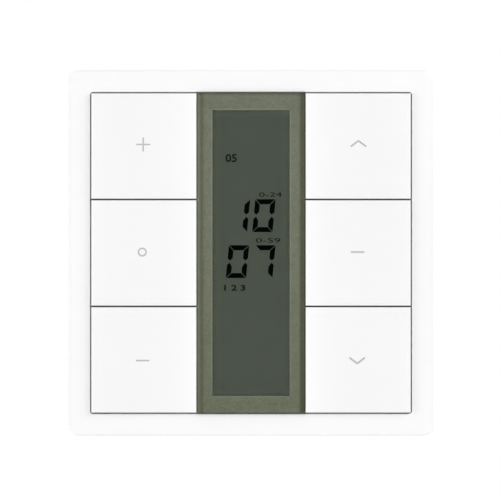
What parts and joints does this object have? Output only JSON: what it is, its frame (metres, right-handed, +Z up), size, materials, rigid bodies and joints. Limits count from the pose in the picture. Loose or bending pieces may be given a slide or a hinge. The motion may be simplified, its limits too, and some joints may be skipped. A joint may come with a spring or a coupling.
{
  "type": "wireless light switch",
  "caption": "Flat square wall-mounted wireless light switch with two columns of keys beside a tall segment display, on a screw-on wall plate.",
  "frame": {"origin": "on the wall plane, at the centre of the wall plate's back face and of its screw slots", "axes": "+X right as seen from the room, +Z up, +Y into the wall, so the keys face -Y"},
  "size_m": [0.081, 0.015, 0.081],
  "materials": {
    "frame_plastic": "satin moulded",
    "key_plastic": "satin moulded",
    "bezel_paint": "metallic grey paint, fine texture",
    "window_clear": "clear polished",
    "display_glass": "clear",
    "display_film": "satin film",
    "chassis_plastic": "moulded",
    "shell_plastic": "moulded",
    "plate_plastic": "moulded",
    "holder_plastic": "moulded",
    "switch_plastic": "moulded",
    "board_laminate": "solder mask",
    "chip_resin": "moulded",
    "capacitor_ceramic": "fired",
    "can_metal": "tinned",
    "contact_metal": "nickel plated",
    "cell_steel": "satin",
    "screw_steel": "zinc plated",
    "strip_rubber": "layered"
  },
  "bodies": {
    "root": {"wall_plate": "plate_plastic", "rear_shell": "shell_plastic", "battery_holder": "holder_plastic", "battery_clip": "contact_metal", "battery_disc": "contact_metal", "coin_cell": "cell_steel", "circuit_board": "board_laminate", "microcontroller": "chip_resin", "capacitors": "capacitor_ceramic", "clock_crystal": "can_metal", "radio_board": "board_laminate", "shield_can": "can_metal", "switch_housings": "switch_plastic", "switch_covers": "can_metal", "switch_domes": "contact_metal", "chassis": "chassis_plastic", "lcd_reflector": "display_film", "lcd_rear_glass": "display_glass", "lcd_front_glass": "display_glass", "lcd_polariser": "display_film", "contact_strips": "strip_rubber", "display_bezel": "bezel_paint", "window_pane": "window_clear", "cover_frame": "frame_plastic", "housing_screws": "screw_steel"},
    "key_left_bottom": {"key_left_bottom": "key_plastic"},
    "plunger_left_bottom": {"plunger_left_bottom": "switch_plastic"},
    "key_left_middle": {"key_left_middle": "key_plastic"},
    "plunger_left_middle": {"plunger_left_middle": "switch_plastic"},
    "key_left_top": {"key_left_top": "key_plastic"},
    "plunger_left_top": {"plunger_left_top": "switch_plastic"},
    "key_right_bottom": {"key_right_bottom": "key_plastic"},
    "plunger_right_bottom": {"plunger_right_bottom": "switch_plastic"},
    "key_right_middle": {"key_right_middle": "key_plastic"},
    "plunger_right_middle": {"plunger_right_middle": "switch_plastic"},
    "key_right_top": {"key_right_top": "key_plastic"},
    "plunger_right_top": {"plunger_right_top": "switch_plastic"}
  },
  "joints": [
    {"name": "key_left_bottom_hinge", "type": "hinge", "parent": "root", "child": "key_left_bottom", "pos_m": [-0.015, -0.012, -0.02368], "axis": [0, 0, -1], "range_deg": [0, 2], "stiffness_Nm_per_rad": 0.02},
    {"name": "plunger_left_bottom_slide", "type": "slide", "parent": "root", "child": "plunger_left_bottom", "axis": [0, 1, 0], "range_m": [0, 0.00031]},
    {"name": "key_left_middle_hinge", "type": "hinge", "parent": "root", "child": "key_left_middle", "pos_m": [-0.015, -0.012, 0], "axis": [0, 0, -1], "range_deg": [0, 2], "stiffness_Nm_per_rad": 0.02},
    {"name": "plunger_left_middle_slide", "type": "slide", "parent": "root", "child": "plunger_left_middle", "axis": [0, 1, 0], "range_m": [0, 0.00031]},
    {"name": "key_left_top_hinge", "type": "hinge", "parent": "root", "child": "key_left_top", "pos_m": [-0.015, -0.012, 0.02368], "axis": [0, 0, -1], "range_deg": [0, 2], "stiffness_Nm_per_rad": 0.02},
    {"name": "plunger_left_top_slide", "type": "slide", "parent": "root", "child": "plunger_left_top", "axis": [0, 1, 0], "range_m": [0, 0.00031]},
    {"name": "key_right_bottom_hinge", "type": "hinge", "parent": "root", "child": "key_right_bottom", "pos_m": [0.015, -0.012, -0.02368], "axis": [0, 0, 1], "range_deg": [0, 2], "stiffness_Nm_per_rad": 0.02},
    {"name": "plunger_right_bottom_slide", "type": "slide", "parent": "root", "child": "plunger_right_bottom", "axis": [0, 1, 0], "range_m": [0, 0.00031]},
    {"name": "key_right_middle_hinge", "type": "hinge", "parent": "root", "child": "key_right_middle", "pos_m": [0.015, -0.012, 0], "axis": [0, 0, 1], "range_deg": [0, 2], "stiffness_Nm_per_rad": 0.02},
    {"name": "plunger_right_middle_slide", "type": "slide", "parent": "root", "child": "plunger_right_middle", "axis": [0, 1, 0], "range_m": [0, 0.00031]},
    {"name": "key_right_top_hinge", "type": "hinge", "parent": "root", "child": "key_right_top", "pos_m": [0.015, -0.012, 0.02368], "axis": [0, 0, 1], "range_deg": [0, 2], "stiffness_Nm_per_rad": 0.02},
    {"name": "plunger_right_top_slide", "type": "slide", "parent": "root", "child": "plunger_right_top", "axis": [0, 1, 0], "range_m": [0, 0.00031]}
  ],
  "couplings": [
    {"joint": "plunger_left_bottom_slide", "follows": "key_left_bottom_hinge", "m_per_rad": 0.008725},
    {"joint": "plunger_left_middle_slide", "follows": "key_left_middle_hinge", "m_per_rad": 0.008725},
    {"joint": "plunger_left_top_slide", "follows": "key_left_top_hinge", "m_per_rad": 0.008725},
    {"joint": "plunger_right_bottom_slide", "follows": "key_right_bottom_hinge", "m_per_rad": 0.008725},
    {"joint": "plunger_right_middle_slide", "follows": "key_right_middle_hinge", "m_per_rad": 0.008725},
    {"joint": "plunger_right_top_slide", "follows": "key_right_top_hinge", "m_per_rad": 0.008725}
  ]
}
